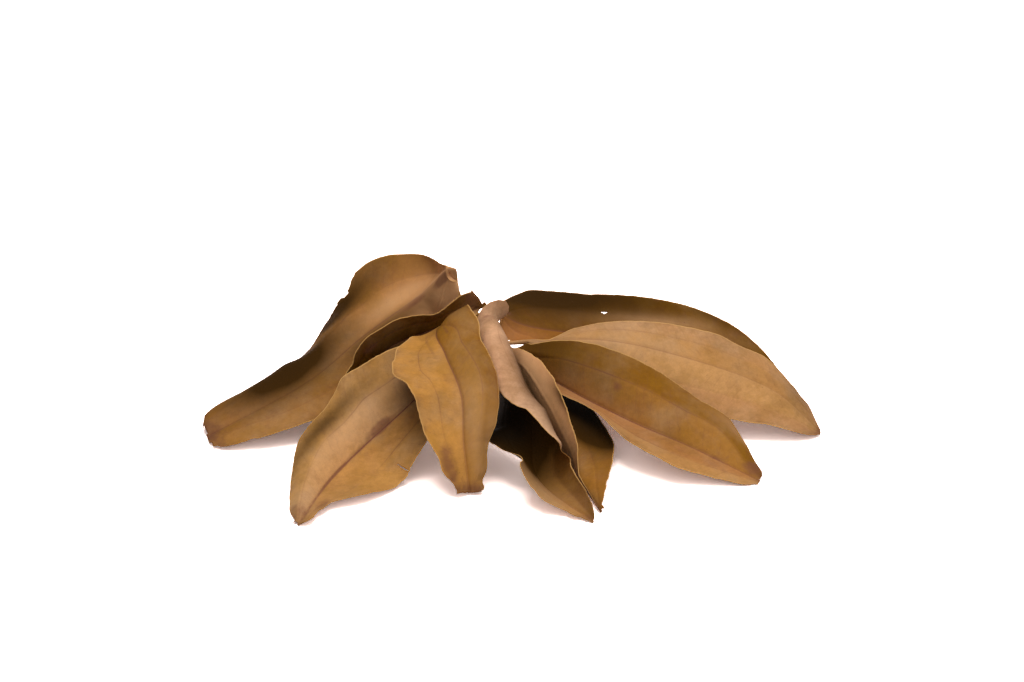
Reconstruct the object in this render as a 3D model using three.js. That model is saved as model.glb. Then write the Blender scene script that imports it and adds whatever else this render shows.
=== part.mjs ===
// A sprig of dried cinnamon leaves: nine curled, brittle leaves on a short cut twig.
// It lies as it was put down, with the leaf tips on the table and the twig held up inside them.
// Millimetres, +Z up. The origin is on the table, at the middle of the sprig's footprint.

import * as THREE from 'three';

// ---- driving dimensions ----

const TWIG_HEAD = [-9, 3, 43];         // the bud at the top of the twig
const TWIG_BEND = [-9, 3.5, 31];
const TWIG_CUT = [-12, 9, 14];         // the cut end, which hangs clear of the table
const TWIG_RADIUS = 1.7;
const TWIG_SIDES = 12;
const TWIG_STEPS = 16;
const NODE_SWELL = 0.5;                // how much the twig swells where stalks leave it
const NODES_AT = [0.1, 0.32, 0.72];    // along the twig, from head to cut

const STALK_RADIUS = 0.8;
const BLADE_THICKNESS = 0.8;           // the blade next to the midrib
const MARGIN_THICKNESS = 0.4;
const MIDRIB_DEPTH = 0.5;              // how far the midrib stands out below the blade
const BLADE_STARTS_OVER = 0.05;        // share of the blade over which the stalk flattens into it

const STALK_ROWS = 3;
const BLADE_ROWS = 15;
const STRIPS = 6;                      // facets from the midrib to a margin

const FOOTPRINT_MIDDLE = [-0.1, -22.9]; // where the origin goes, in the coordinates used above and below
const LOWEST_TIP = 0.24;               // height of the lowest leaf tip in the same coordinates

// Each leaf runs along its midrib, from the twig to the tip. `stalk` is the share of it that is bare
// stalk. The blade's half width follows one curve, widest at `belly`: `base` and `tip` say how pointed
// its two ends are, for both halves or for one, and `end` is the half width of the broken tip. Angles
// are in degrees, listed from the blade's base to its tip: `bank` turns the blade about its midrib,
// `fold` lifts a half at the midrib, `curl` bends it evenly and `kink` bends it at the side nerve.
// `margin` lists, for an uneven or torn half, places along the blade and the share of that width there.
const LEAVES = [
  {
    name: 'leaf_front',
    midrib: [[-10.5, 0.5, 41], [-27, -17, 43], [-24, -34, 41], [-18, -49, 32], [-17, -59, 18], [-15, -65, 1]],
    stalk: 0.2, belly: 0.3, base: 0.25, tip: 0.6, end: 6, bank: [-30, -5, 0],
    left: {
      width: 18, fold: [35, 35, 35], curl: [-20, -45, -35], kink: [-10, -40, -20],
      margin: [[0.03, 1.2], [0.1, 1], [0.18, 1], [0.24, 0.85], [0.35, 0.95], [0.42, 1],
       [0.52, 0.95], [0.65, 0.9], [0.75, 0.8], [0.82, 0.8], [0.9, 1]],
    },
    right: {
      width: 19, fold: [0, 10, 20], curl: [15, 0, 0], kink: [25, 0, 0],
      margin: [[0, 0.65], [0.08, 0.75], [0.12, 0.95], [0.25, 1.05], [0.33, 1.15], [0.38, 1],
       [0.5, 0.95], [0.7, 0.95], [0.8, 0.85], [0.86, 1]],
    },
  },
  {
    name: 'leaf_front_left',
    midrib: [[-11, 1, 38], [-33, -26, 22], [-54, -43, 8], [-65, -60, 3], [-73, -87, 1]],
    stalk: 0.08, belly: 0.4, base: 0.55, tip: 0.9, end: 3, bank: [15, 25, 0],
    left: {
      width: 23, tip: 0.35, fold: [40, 15, 20], curl: [10, 0, 5], kink: [5, 0, 5],
      margin: [[0.7, 1], [0.8, 0.95], [0.84, 0.75], [0.88, 0.45], [0.93, 0.45], [1, 0.6]],
    },
    right: {
      width: 25, fold: [35, 35, 30], curl: [20, -30, -55], kink: [5, -35, -35],
      margin: [[0.25, 1], [0.34, 1.05], [0.39, 0.95], [0.45, 0.9], [0.6, 1], [0.8, 0.9], [0.88, 0.95],
       [0.93, 1.1], [1, 0.8]],
    },
  },
  {
    name: 'leaf_rolled',
    midrib: [[-9, 0, 43], [-1, -24, 38], [7, -42, 19], [9, -57, 3], [28, -85, 1]],
    stalk: 0.06, belly: 0.4, base: 0.7, tip: 0.65, end: 1, bank: [-20, -55, 40, -15],
    left: {
      width: 19, fold: [50, 20, 15, 15], curl: [185, 170, 100, 15], kink: [5, 10, 5, 5],
      margin: [[0.4, 1], [0.5, 1.1], [0.58, 1.2], [0.62, 0.9], [0.7, 1], [0.8, 1], [1, 0.9]],
    },
    right: {
      width: 21, fold: [0, -15, 15, 20], curl: [-10, -15, 0, 0], kink: [-5, -10, 0, 0],
      margin: [[0.5, 1], [0.58, 0.9], [0.68, 0.95], [0.76, 1], [0.79, 1.35], [0.9, 1.35], [0.93, 0.8],
       [1, 0.8]],
    },
  },
  {
    name: 'leaf_doubled',
    midrib: [[-7.3, 0.4, 36], [2, -14, 25], [10, -28, 14], [20, -47, 4], [31, -78, 1]],
    stalk: 0.12, belly: 0.4, base: 0.7, tip: 0.7, end: 2, bank: [-10, -10, -10, -10],
    left: {
      width: 23, fold: [-60, -25, -5, 20], curl: [0, 0, 0, 0], kink: [0, 0, 0, 0],
      margin: [[0.02, 0.6], [0.15, 0.7], [0.3, 1], [0.7, 1.05], [0.8, 0.95], [0.87, 0.8], [0.93, 0.7],
       [0.98, 0.4], [1, 0.4]],
    },
    right: {
      width: 15, fold: [70, 95, 110, 60], curl: [60, 40, 30, 0], kink: [20, 10, 0, 0],
      margin: [[0.05, 1.1], [0.2, 1.1], [0.35, 1], [0.45, 0.9], [0.58, 0.75], [0.75, 0.75],
       [0.79, 0.5], [0.83, 0.1], [1, 0.1]],
    },
  },
  {
    name: 'leaf_front_right',
    midrib: [[-6.5, 1.5, 32], [15, -11, 20], [42, -28, 12], [65, -43, 8], [89, -56, 1]],
    stalk: 0.08, belly: 0.4, base: 0.6, tip: 0.65, end: 2.5, bank: [-20, -20, -5],
    left: {
      width: 24, tip: 0.4, fold: [75, 45, 10], curl: [-20, -35, -20], kink: [-25, -35, -10],
      margin: [[0.03, 0.7], [0.1, 0.9], [0.25, 1], [0.48, 1.1], [0.65, 1.05], [0.78, 1.2], [0.88, 1],
       [0.95, 0.75], [1, 0.8]],
    },
    right: {
      width: 18, base: 2, fold: [30, 25, 0], curl: [20, 10, -10], kink: [0, 5, -5],
      margin: [[0.25, 0.8], [0.32, 0.45], [0.38, 0.45], [0.45, 0.75], [0.55, 1.05], [0.65, 1.15],
       [0.75, 1.25], [0.83, 1.1], [0.9, 1.05], [1, 1.2]],
    },
  },
  {
    name: 'leaf_right',
    midrib: [[-5.5, 2, 29], [33, -1, 32], [67, -5, 26], [98, -11, 16], [117, -18, 1]],
    stalk: 0.07, belly: 0.45, base: 0.9, tip: 0.55, end: 2.5, bank: [-20, -25, 5],
    left: {
      width: 18, fold: [5, 5, -5], curl: [-20, -10, -10], kink: [-10, -5, -5],
      margin: [[0, 0.1], [0.06, 0.1], [0.11, 0.75], [0.2, 0.8], [0.4, 0.85], [0.53, 0.95],
       [0.6, 0.9], [0.68, 1.05], [0.78, 0.9], [0.85, 0.95], [0.9, 1.3], [1, 1.3]],
    },
    right: { width: 21, fold: [-30, -20, -5], curl: [-5, -5, -5], kink: [0, 5, 0] },
  },
  {
    name: 'leaf_back_right',
    midrib: [[-6.5, 4.5, 42], [8, 11, 32], [46, 22, 22], [81, 24, 16], [111, 19, 1]],
    stalk: 0.03, belly: 0.4, base: 0.6, tip: 0.8, end: 1.5, bank: [-30, 10, 15],
    left: {
      width: 23, fold: [-20, 45, 40], curl: [-10, 0, 0], kink: [0, -10, 0],
      margin: [[0, 0.85], [0.07, 0.8], [0.12, 0.9], [0.25, 1.1], [0.4, 0.95], [0.5, 1]],
    },
    right: {
      width: 17, base: 0.3, fold: [-50, 0, 10], curl: [-15, 0, 0], kink: [-5, 0, 0],
      margin: [[0, 0.6], [0.05, 0.7], [0.12, 0.6], [0.2, 0.55], [0.4, 1]],
    },
  },
  {
    name: 'leaf_folded',
    midrib: [[-10, 6.5, 43.5], [-28, -1, 37], [-46, -9, 32], [-59, -18, 19], [-64, -31, 1]],
    stalk: 0.02, belly: 0.35, base: 0.15, tip: 0.5, end: 1.5, bank: [85, 45, -10],
    left: { width: 14, base: 2, fold: [40, 15, 35], curl: [-10, -5, 0], kink: [0, 0, 0] },
    right: {
      width: 17, fold: [10, 65, 50], curl: [5, 5, -15], kink: [0, 5, -5],
      margin: [[0.01, 0.5], [0.03, 0.65], [0.08, 0.65], [0.12, 0.6], [0.2, 0.5], [0.25, 0.5], [0.35, 0.75],
       [0.43, 0.9], [0.55, 0.9], [0.63, 0.7], [0.65, 0.55], [1, 0.5]],
    },
  },
  {
    name: 'leaf_back_left',
    midrib: [[-10.5, 5.5, 37], [-20, 17, 42], [-24, 11, 56], [-36, 21, 41], [-57, 7, 30], [-78, -10, 18],
     [-115, -23, 1.5]],
    stalk: 0.33, belly: 0.4, base: 1.5, tip: 0.25, end: 9, bank: [45, 10, 10],
    left: { width: 20, base: 0.7, fold: [-60, -25, 10], curl: [-40, -20, -5], kink: [-10, -5, -5] },
    right: {
      width: 31, fold: [-25, 5, 25], curl: [75, -15, -50], kink: [60, -20, -25],
      margin: [[0.05, 0.8], [0.1, 0.7], [0.15, 0.75], [0.22, 0.95], [0.37, 0.95], [0.4, 0.85],
       [0.49, 0.9], [0.53, 0.8], [0.62, 0.7], [0.68, 0.75], [0.72, 0.85], [0.76, 1], [0.9, 1], [1, 1.3]],
    },
  },
];

// ---- curves ----

const UP = new THREE.Vector3(0, 0, 1);

function curveThrough(points) {
  return new THREE.CatmullRomCurve3(points.map((p) => new THREE.Vector3(...p)), false, 'catmullrom', 0.5);
}

// A list of angles as a smooth function of the share of the blade.
function listed(degrees) {
  const curve = curveThrough(degrees.map((d) => [THREE.MathUtils.degToRad(d), 0, 0]));
  return (share) => curve.getPoint(share).x;
}

// The share of the width at a place on an uneven or torn margin.
function marginShare(pairs, share) {
  for (let i = 1; i < pairs.length; i += 1) {
    const [from, before] = pairs[i - 1];
    const [to, after] = pairs[i];
    if (share >= from && share <= to) return THREE.MathUtils.mapLinear(share, from, to, before, after);
  }
  return 1;
}

// ---- one leaf ----

// The blade's half width as a share of its greatest.
function fullness(leaf, side, share) {
  const towardsTip = share > leaf.belly;
  const x = towardsTip ? (share - leaf.belly) / (1 - leaf.belly) : 1 - share / leaf.belly;
  return (1 - x * x) ** (towardsTip ? side.tip ?? leaf.tip : side.base ?? leaf.base);
}

function halfThickness(u, flattened) {
  const stalk = STALK_RADIUS * Math.sqrt(1 - u * u);
  const blade = THREE.MathUtils.lerp(BLADE_THICKNESS, MARGIN_THICKNESS, u) / 2;
  return Math.max(THREE.MathUtils.lerp(stalk, blade, flattened), MARGIN_THICKNESS / 2);
}

// The closed section at one place: along the top from the left margin to the right, and back below.
function leafSection(leaf, midrib, place) {
  const share = Math.max((place - leaf.stalk) / (1 - leaf.stalk), 0);
  const flattened = THREE.MathUtils.smoothstep(share, 0, BLADE_STARTS_OVER);
  const centre = midrib.getPoint(place);
  const along = midrib.getPoint(Math.min(place + 0.001, 1)).sub(midrib.getPoint(Math.max(place - 0.001, 0)));
  along.normalize();
  const right = new THREE.Vector3().crossVectors(along, UP).normalize();
  const top = new THREE.Vector3().crossVectors(right, along);
  const bank = listed(leaf.bank)(share);
  right.applyAxisAngle(along, -bank);
  top.applyAxisAngle(along, -bank);

  // at the midrib the blade faces midway between its two halves
  const lean = ((listed(leaf.left.fold)(share) - listed(leaf.right.fold)(share)) / 2) * flattened;
  const ridge = top.clone().multiplyScalar(Math.cos(lean)).addScaledVector(right, Math.sin(lean));

  const upper = [];
  const lower = [];
  for (const [side, sign] of [[leaf.left, -1], [leaf.right, 1]]) {
    const least = share > 0.5 ? leaf.end : STALK_RADIUS;
    const left = fullness(leaf, side, share) * marginShare(side.margin ?? [], share);
    const width = Math.max(side.width * left, least);
    const fold = listed(side.fold)(share) * flattened;
    const curl = listed(side.curl)(share) * flattened;
    const kink = listed(side.kink)(share) * flattened;
    const lift = (u) => fold + curl * u + (u > 0.5 ? kink : 0);
    const spot = centre.clone();
    for (let strip = 0; strip <= STRIPS; strip += 1) {
      const u = strip / STRIPS;
      if (strip > 0) {
        const angle = lift(u - 0.5 / STRIPS);
        spot.addScaledVector(right, (sign * Math.cos(angle) * width) / STRIPS);
        spot.addScaledVector(top, (Math.sin(angle) * width) / STRIPS);
      }
      const facing = lift(u);
      const normal = top.clone().multiplyScalar(Math.cos(facing));
      normal.addScaledVector(right, -sign * Math.sin(facing));
      if (strip === 0) normal.copy(ridge);
      const half = halfThickness(u, flattened);
      const rib = strip === 0 ? MIDRIB_DEPTH * flattened * (1 - share) : 0;
      const above = spot.clone().addScaledVector(normal, half);
      const below = spot.clone().addScaledVector(normal, -half - rib);
      if (sign < 0) {
        upper.unshift(above);
        lower.push(below);
      } else if (strip > 0) {
        upper.push(above);
        lower.unshift(below);
      }
    }
  }
  return [...upper, ...lower];
}

function leafPlaces(leaf) {
  const places = [];
  for (let i = 0; i < STALK_ROWS; i += 1) places.push((leaf.stalk * i) / STALK_ROWS);
  const shares = [BLADE_STARTS_OVER / 3, (BLADE_STARTS_OVER * 2) / 3];
  for (let i = 0; i <= BLADE_ROWS; i += 1) shares.push(i / BLADE_ROWS);
  for (const side of [leaf.left, leaf.right]) shares.push(...(side.margin ?? []).map(([share]) => share));
  const sorted = [...new Set(shares)].sort((a, b) => a - b);
  for (const share of sorted) places.push(leaf.stalk + (1 - leaf.stalk) * share);
  return places;
}

// ---- closed bodies from rings ----

// Rings of equal length, joined into one closed body. Each ring runs the same way round.
function loft(rings, capWidth) {
  const count = rings[0].length;
  const positions = rings.flat().flatMap((p) => p.toArray());
  const index = [];
  for (let r = 0; r + 1 < rings.length; r += 1) {
    for (let i = 0; i < count; i += 1) {
      const a = r * count + i;
      const b = r * count + ((i + 1) % count);
      // both sides of a blade are split along the same diagonal, so that a thin twisted one stays open
      const below = i >= capWidth;
      if (below) index.push(a, b, a + count, b, b + count, a + count);
      else index.push(a, b, b + count, a, b + count, a + count);
    }
  }
  // each end is closed by strips between the ring's two long sides
  const cap = (first, flip) => {
    for (let i = 0; i + 1 < capWidth; i += 1) {
      const a = first + i;
      const b = first + i + 1;
      const c = first + count - 2 - i;
      const d = first + count - 1 - i;
      index.push(...(flip ? [a, c, b, a, d, c] : [a, b, c, a, c, d]));
    }
  };
  cap(0, true);
  cap((rings.length - 1) * count, false);
  const geometry = new THREE.BufferGeometry();
  geometry.setAttribute('position', new THREE.Float32BufferAttribute(positions, 3));
  geometry.setIndex(index);
  geometry.computeVertexNormals();
  return geometry;
}

function leafGeometry(leaf) {
  const midrib = curveThrough(leaf.midrib);
  const rings = leafPlaces(leaf).map((place) => leafSection(leaf, midrib, place));
  return loft(rings, 2 * STRIPS + 1);
}

function twigGeometry() {
  const line = curveThrough([TWIG_HEAD, TWIG_BEND, TWIG_CUT]);
  const rings = [];
  for (let step = 0; step <= TWIG_STEPS; step += 1) {
    const place = step / TWIG_STEPS;
    const along = line.getTangent(place);
    const side = new THREE.Vector3().crossVectors(along, new THREE.Vector3(0, 1, 0)).normalize();
    const front = new THREE.Vector3().crossVectors(along, side);
    const bud = Math.sqrt(THREE.MathUtils.smoothstep(place, -0.02, 0.08));
    const swell = NODES_AT.reduce((sum, at) => sum + NODE_SWELL * Math.exp(-(((place - at) / 0.04) ** 2)), 0);
    const radius = (TWIG_RADIUS + swell) * bud;
    const ring = [];
    for (let i = 0; i < TWIG_SIDES; i += 1) {
      const turn = (2 * Math.PI * i) / TWIG_SIDES;
      const spot = line.getPoint(place).addScaledVector(side, radius * Math.cos(turn));
      ring.push(spot.addScaledVector(front, radius * Math.sin(turn)));
    }
    rings.push(ring);
  }
  return loft(rings, TWIG_SIDES / 2);
}

// ---- the sprig ----

// in the order of LEAVES
const LEAF_COLOURS = [0xb98a55, 0xb08250, 0xa87b48, 0xa57a4c, 0x9c7038, 0xbd9260, 0x8f6432, 0x6e4a20, 0xa2743e];
const BARK_COLOUR = 0x5a3d26;

const dull = (color, roughness) => new THREE.MeshStandardMaterial({ color, roughness, metalness: 0 });

const sprig = new THREE.Group();
sprig.position.set(-FOOTPRINT_MIDDLE[0], -FOOTPRINT_MIDDLE[1], -LOWEST_TIP);

function addPiece(name, geometry, material) {
  const mesh = new THREE.Mesh(geometry, material);
  mesh.name = name;
  sprig.add(mesh);
}

addPiece('twig', twigGeometry(), dull(BARK_COLOUR, 0.85));
LEAVES.forEach((leaf, i) => addPiece(leaf.name, leafGeometry(leaf), dull(LEAF_COLOURS[i], 0.7)));

export default sprig;
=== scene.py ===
import math

import bpy
import numpy as np
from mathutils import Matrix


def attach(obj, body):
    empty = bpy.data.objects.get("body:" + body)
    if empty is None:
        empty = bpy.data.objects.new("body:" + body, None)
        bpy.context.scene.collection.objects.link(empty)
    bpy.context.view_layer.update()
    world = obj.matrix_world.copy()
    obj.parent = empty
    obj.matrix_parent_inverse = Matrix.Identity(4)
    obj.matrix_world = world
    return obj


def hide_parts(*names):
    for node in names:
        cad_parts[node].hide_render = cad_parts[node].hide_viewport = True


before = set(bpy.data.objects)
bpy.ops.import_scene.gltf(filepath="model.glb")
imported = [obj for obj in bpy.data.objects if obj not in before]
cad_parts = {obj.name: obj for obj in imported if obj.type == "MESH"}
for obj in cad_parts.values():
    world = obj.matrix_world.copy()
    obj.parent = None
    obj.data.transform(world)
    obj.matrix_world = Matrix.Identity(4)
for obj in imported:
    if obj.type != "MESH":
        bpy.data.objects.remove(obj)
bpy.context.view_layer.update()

bl_info = {
    "name": "Dried cinnamon leaves",
    "version": (1, 0, 0),
    "blender": (4, 5, 0),
    "location": "3D View > Sidebar > Sprig",
    "description": "A sprig of curled, brittle dried cinnamon leaves on a short cut twig",
    "category": "Add Mesh",
}

MM = 0.001
# The sprig's origin on the table, in the coordinates of the lists below, in mm.
ORIGIN = np.array([-0.1, -22.9, 0.24])

TWIG_LINE = [[-9, 3, 43], [-9, 3.5, 31], [-12, 9, 14]]
TWIG_NODES = [0.1, 0.32, 0.72]             # along the twig, from head to cut
STALK_RADIUS = 0.8                         # in mm
BLADE_STARTS_OVER = 0.05                   # share of the blade over which the stalk flattens into it

JOIN_ROWS = 5                              # from the twig's middle to the start of the stalk
STALK_ROWS = 14
BLADE_ROWS = 220
COLUMNS = 44                               # from the midrib to a margin
SIDE_NERVE = 0.5                           # where a side nerve runs, from midrib to margin
KINK_REACH = 0.05                          # how far to each side of a side nerve the kink is spread
MOST_TRIM = 0.3                            # the least share of its width that a torn half keeps

VEIN_SPACING = 1.7                         # between the fine cross veins, in mm
VEIN_ARCH = 0.5                            # how far they lean towards the tip, for each mm from the midrib
VEIN_WANDER = 5.0                          # how far they stray, in mm
UV_HEIGHT = 70                             # mm across a leaf that the UV map's height stands for
# painted shadow: the near black that the strongest painted shade goes towards
PAINTED_SHADOW_BLACK = (0.008, 0.004, 0.001)          # the linear colour that the deepest shades go towards

TWIG_POINTS = 90
TWIG_SIDES = 40
BUD_LENGTH = 0.08                          # share of the twig over which its head is rounded
NODE_LENGTH = 0.04                         # share of the twig over which a node swells, to each side

# Soft suns: tilt, turn and angle in degrees, and strength.
LAMPS = {"overhead": (8, 15, 35, 1.8), "front": (50, 10, 100, 1.1), "right": (65, 75, 100, 0.6)}
LAMP_COLOUR = (1.0, 0.985, 0.965)
ROOM_LIGHT = 0.16
FLOOR_REACH = 6.0                          # in metres, like the camera's distance
FLOOR_LIT_BY = (0.3, 0.27, 0.25)           # the floor's colour for the light that it sends on to the leaves
FLOOR_SEEN = (3.4, 2.85, 2.7)              # and for the camera: above 1, so only deep shadow shows on it
FLOOR_GLOW = (1.0, 0.92, 0.9, 1)
FLOOR_GLOW_STRENGTH = 0.04
CAMERA_LENS = 60                           # in mm, like the sensor's width
CAMERA_SENSOR = 36
CAMERA_ELEVATION = 24                      # in degrees above the table
CAMERA_DISTANCE = 0.6485                   # in metres
CAMERA_TARGET = [0, 0, 31]                 # in the coordinates of the lists below, in mm

# Each leaf runs along its midrib, from the twig to the tip, in mm. `stalk` is the share of it that is
# bare stalk. The blade's half width follows one curve, widest at `belly`: `base` and `tip` say how
# pointed its two ends are, for both halves or for one, and `end` is the half width of the broken tip.
# Angles are in degrees, listed from the blade's base to its tip: `bank` turns the blade about its
# midrib, `fold` lifts a half at the midrib, `curl` bends it evenly and `kink` bends it at the side
# nerve. `margin` lists, for an uneven or torn half, places along the blade and the share of that width.
LEAVES = {
    "leaf_front": {
        "midrib": [[-10.5, 0.5, 41], [-27, -17, 43], [-24, -34, 41], [-18, -49, 32], [-17, -59, 18],
                   [-15, -65, 1]],
        "stalk": 0.2, "belly": 0.3, "base": 0.25, "tip": 0.6, "end": 6, "bank": [-30, -5, 0],
        "left": {
            "width": 18, "fold": [35, 35, 35], "curl": [-20, -45, -35], "kink": [-10, -40, -20],
            "margin": [[0, 1.5], [0.1, 1.1], [0.18, 1], [0.24, 0.85], [0.35, 0.95], [0.42, 1], [0.52, 0.95],
                       [0.65, 0.9], [0.75, 0.8], [0.82, 0.8], [0.9, 1]],
        },
        "right": {
            "width": 19, "fold": [0, 10, 20], "curl": [15, 0, 0], "kink": [25, 0, 0],
            "margin": [[0, 0.65], [0.08, 0.75], [0.12, 0.95], [0.25, 1.05], [0.33, 1.15], [0.38, 1],
                       [0.5, 0.95], [0.7, 0.95], [0.8, 0.85], [0.86, 1]],
        },
    },
    "leaf_front_left": {
        "midrib": [[-11, 1, 38], [-33, -26, 22], [-54, -43, 8], [-65, -60, 3], [-73, -87, 1]],
        "stalk": 0.08, "belly": 0.4, "base": 0.55, "tip": 0.9, "end": 3, "bank": [15, 25, 0],
        "left": {
            "width": 23, "tip": 0.35, "fold": [40, 15, 20], "curl": [10, 0, 5], "kink": [5, 0, 5],
            "margin": [[0.7, 1], [0.8, 0.95], [0.84, 0.75], [0.88, 0.45], [0.93, 0.45], [1, 0.6]],
        },
        "right": {
            "width": 25, "fold": [35, 35, 30], "curl": [20, -30, -55], "kink": [5, -35, -35],
            "margin": [[0.25, 1], [0.34, 1.05], [0.39, 0.95], [0.45, 0.9], [0.6, 1], [0.8, 0.9], [0.88, 0.95],
                       [0.93, 1.1], [1, 0.8]],
        },
    },
    "leaf_rolled": {
        "midrib": [[-9, 0, 43], [-1, -24, 38], [7, -42, 19], [9, -57, 3], [28, -85, 1]],
        "stalk": 0.06, "belly": 0.4, "base": 0.7, "tip": 0.65, "end": 1, "bank": [-20, -55, 40, -15],
        "left": {
            "width": 19, "base": 0.25, "fold": [50, 20, 15, 15], "curl": [185, 170, 100, 15],
            "kink": [5, 10, 5, 5],
            "margin": [[0.4, 1], [0.5, 1.1], [0.58, 1.2], [0.62, 0.9], [0.7, 1], [0.8, 1], [1, 0.9]],
        },
        "right": {
            "width": 21, "fold": [0, -15, 15, 20], "curl": [-10, -15, 0, 0], "kink": [-5, -10, 0, 0],
            "margin": [[0.5, 1], [0.58, 0.9], [0.68, 0.95], [0.76, 1], [0.79, 1.35], [0.9, 1.35], [0.93, 0.8],
                       [1, 0.8]],
        },
    },
    "leaf_doubled": {
        "midrib": [[-7.3, 0.4, 36], [2, -14, 25], [10, -28, 14], [20, -47, 4], [31, -78, 1]],
        "stalk": 0.12, "belly": 0.4, "base": 0.7, "tip": 0.7, "end": 2, "bank": [-10, -10, -10, -10],
        "left": {
            "width": 23, "fold": [-60, -25, -5, 20], "curl": [0, 0, 0, 0], "kink": [0, 0, 0, 0],
            "margin": [[0.02, 0.6], [0.15, 0.7], [0.3, 1], [0.7, 1.05], [0.8, 0.95], [0.87, 0.8], [0.93, 0.7],
                       [0.98, 0.4], [1, 0.4]],
        },
        "right": {
            "width": 15, "fold": [70, 95, 110, 60], "curl": [60, 40, 30, 0], "kink": [20, 10, 0, 0],
            "margin": [[0.05, 1.1], [0.2, 1.1], [0.35, 1], [0.45, 0.9], [0.58, 0.75], [0.75, 0.75],
                       [0.79, 0.5], [0.83, 0.1], [1, 0.1]],
        },
    },
    "leaf_front_right": {
        "midrib": [[-6.5, 1.5, 32], [15, -11, 20], [42, -28, 12], [65, -43, 8], [89, -56, 1]],
        "stalk": 0.08, "belly": 0.4, "base": 0.6, "tip": 0.65, "end": 2.5, "bank": [-20, -20, -5],
        "left": {
            "width": 24, "tip": 0.4, "fold": [75, 45, 10], "curl": [-20, -35, -20], "kink": [-25, -35, -10],
            "margin": [[0.03, 0.7], [0.1, 0.9], [0.25, 1], [0.48, 1.1], [0.65, 1.05], [0.78, 1.2], [0.88, 1],
                       [0.95, 0.75], [1, 0.8]],
        },
        "right": {
            "width": 18, "base": 2, "fold": [30, 25, 0], "curl": [20, 10, -10], "kink": [0, 5, -5],
            "margin": [[0.25, 0.8], [0.32, 0.45], [0.38, 0.45], [0.45, 0.75], [0.55, 1.05], [0.65, 1.15],
                       [0.75, 1.25], [0.83, 1.1], [0.9, 1.05], [1, 1.2]],
        },
    },
    "leaf_right": {
        "midrib": [[-5.5, 2, 29], [33, -1, 32], [67, -5, 26], [98, -11, 16], [117, -18, 1]],
        "stalk": 0.07, "belly": 0.45, "base": 0.9, "tip": 0.55, "end": 2.5, "bank": [-20, -25, 5],
        "left": {
            "width": 18, "fold": [5, 5, -5], "curl": [-20, -10, -10], "kink": [-10, -5, -5],
            "margin": [[0, 0.1], [0.06, 0.1], [0.11, 0.75], [0.2, 0.8], [0.4, 0.85], [0.53, 0.95], [0.6, 0.9],
                       [0.68, 1.05], [0.78, 0.9], [0.85, 0.95], [0.9, 1.3], [1, 1.3]],
        },
        "right": {"width": 21, "fold": [-30, -20, -5], "curl": [-5, -5, -5], "kink": [0, 5, 0]},
    },
    "leaf_back_right": {
        "midrib": [[-6.5, 4.5, 42], [8, 11, 32], [46, 22, 22], [81, 24, 16], [111, 19, 1]],
        "stalk": 0.03, "belly": 0.4, "base": 0.6, "tip": 0.8, "end": 1.5, "bank": [-30, 10, 15],
        "left": {
            "width": 23, "fold": [-20, 45, 40], "curl": [-10, 0, 0], "kink": [0, -10, 0],
            "margin": [[0, 1.1], [0.07, 0.9], [0.12, 0.9], [0.25, 1.1], [0.4, 0.95], [0.5, 1]],
        },
        "right": {
            "width": 17, "base": 0.3, "fold": [-50, 0, 10], "curl": [-15, 0, 0], "kink": [-5, 0, 0],
            "margin": [[0, 0.6], [0.05, 0.7], [0.12, 0.6], [0.2, 0.55], [0.4, 1]],
        },
    },
    "leaf_folded": {
        "midrib": [[-10, 6.5, 43.5], [-28, -1, 37], [-46, -9, 32], [-59, -18, 19], [-64, -31, 1]],
        "stalk": 0.02, "belly": 0.35, "base": 0.15, "tip": 0.5, "end": 1.5, "bank": [85, 45, -10],
        "left": {"width": 14, "base": 1.2, "fold": [40, 15, 35], "curl": [-10, -5, 0], "kink": [0, 0, 0]},
        "right": {
            "width": 17, "fold": [10, 65, 50], "curl": [5, 5, -15], "kink": [0, 5, -5],
            "margin": [[0.01, 0.5], [0.03, 0.65], [0.08, 0.65], [0.12, 0.6], [0.2, 0.5], [0.25, 0.5],
                       [0.35, 0.75], [0.43, 0.9], [0.55, 0.9], [0.63, 0.7], [0.65, 0.55], [1, 0.5]],
        },
    },
    "leaf_back_left": {
        "midrib": [[-10.5, 5.5, 37], [-20, 17, 42], [-24, 11, 56], [-36, 21, 41], [-57, 7, 30],
                   [-78, -10, 18], [-115, -23, 1.5]],
        "stalk": 0.33, "belly": 0.4, "base": 1.5, "tip": 0.25, "end": 9, "bank": [45, 10, 10],
        "left": {
            "width": 20, "base": 0.7, "fold": [-60, -25, 10], "curl": [-40, -20, -5], "kink": [-10, -5, -5],
        },
        "right": {
            "width": 31, "fold": [-25, 5, 25], "curl": [75, -15, -50], "kink": [60, -20, -25],
            "margin": [[0.05, 0.8], [0.1, 0.7], [0.15, 0.75], [0.22, 0.95], [0.37, 0.95], [0.4, 0.85],
                       [0.49, 0.9], [0.53, 0.8], [0.62, 0.7], [0.68, 0.75], [0.72, 0.85], [0.76, 1], [0.9, 1],
                       [1, 1.3]],
        },
    },
}

# Where a margin is torn: which half, from and to where along the blade, and how deep in mm.
TORN = {
    "leaf_back_left": [("right", 0.36, 0.72, 2.0), ("left", 0.9, 1.0, 0.8)],
    "leaf_front_left": [("left", 0.8, 0.98, 1.2), ("left", 0.36, 0.46, 0.8)],
    "leaf_rolled": [("right", 0.5, 0.64, 1.2), ("right", 0.86, 1.0, 1.2)],
    "leaf_front": [("left", 0.93, 1.0, 0.8), ("right", 0.9, 1.0, 0.8)],
    "leaf_front_right": [("right", 0.55, 0.7, 0.5)],
    "leaf_doubled": [("left", 0.88, 1.0, 0.5)],
}

# Holes and slits: place along the blade, then in mm the distance across from the midrib (less than 0 on
# the left half), the half length and the half width.
HOLES = {
    "leaf_back_right": [(0.43, -11.7, 0.8, 0.5)],
    "leaf_front_left": [(0.44, -19.5, 0.45, 3.0)],
}

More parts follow.
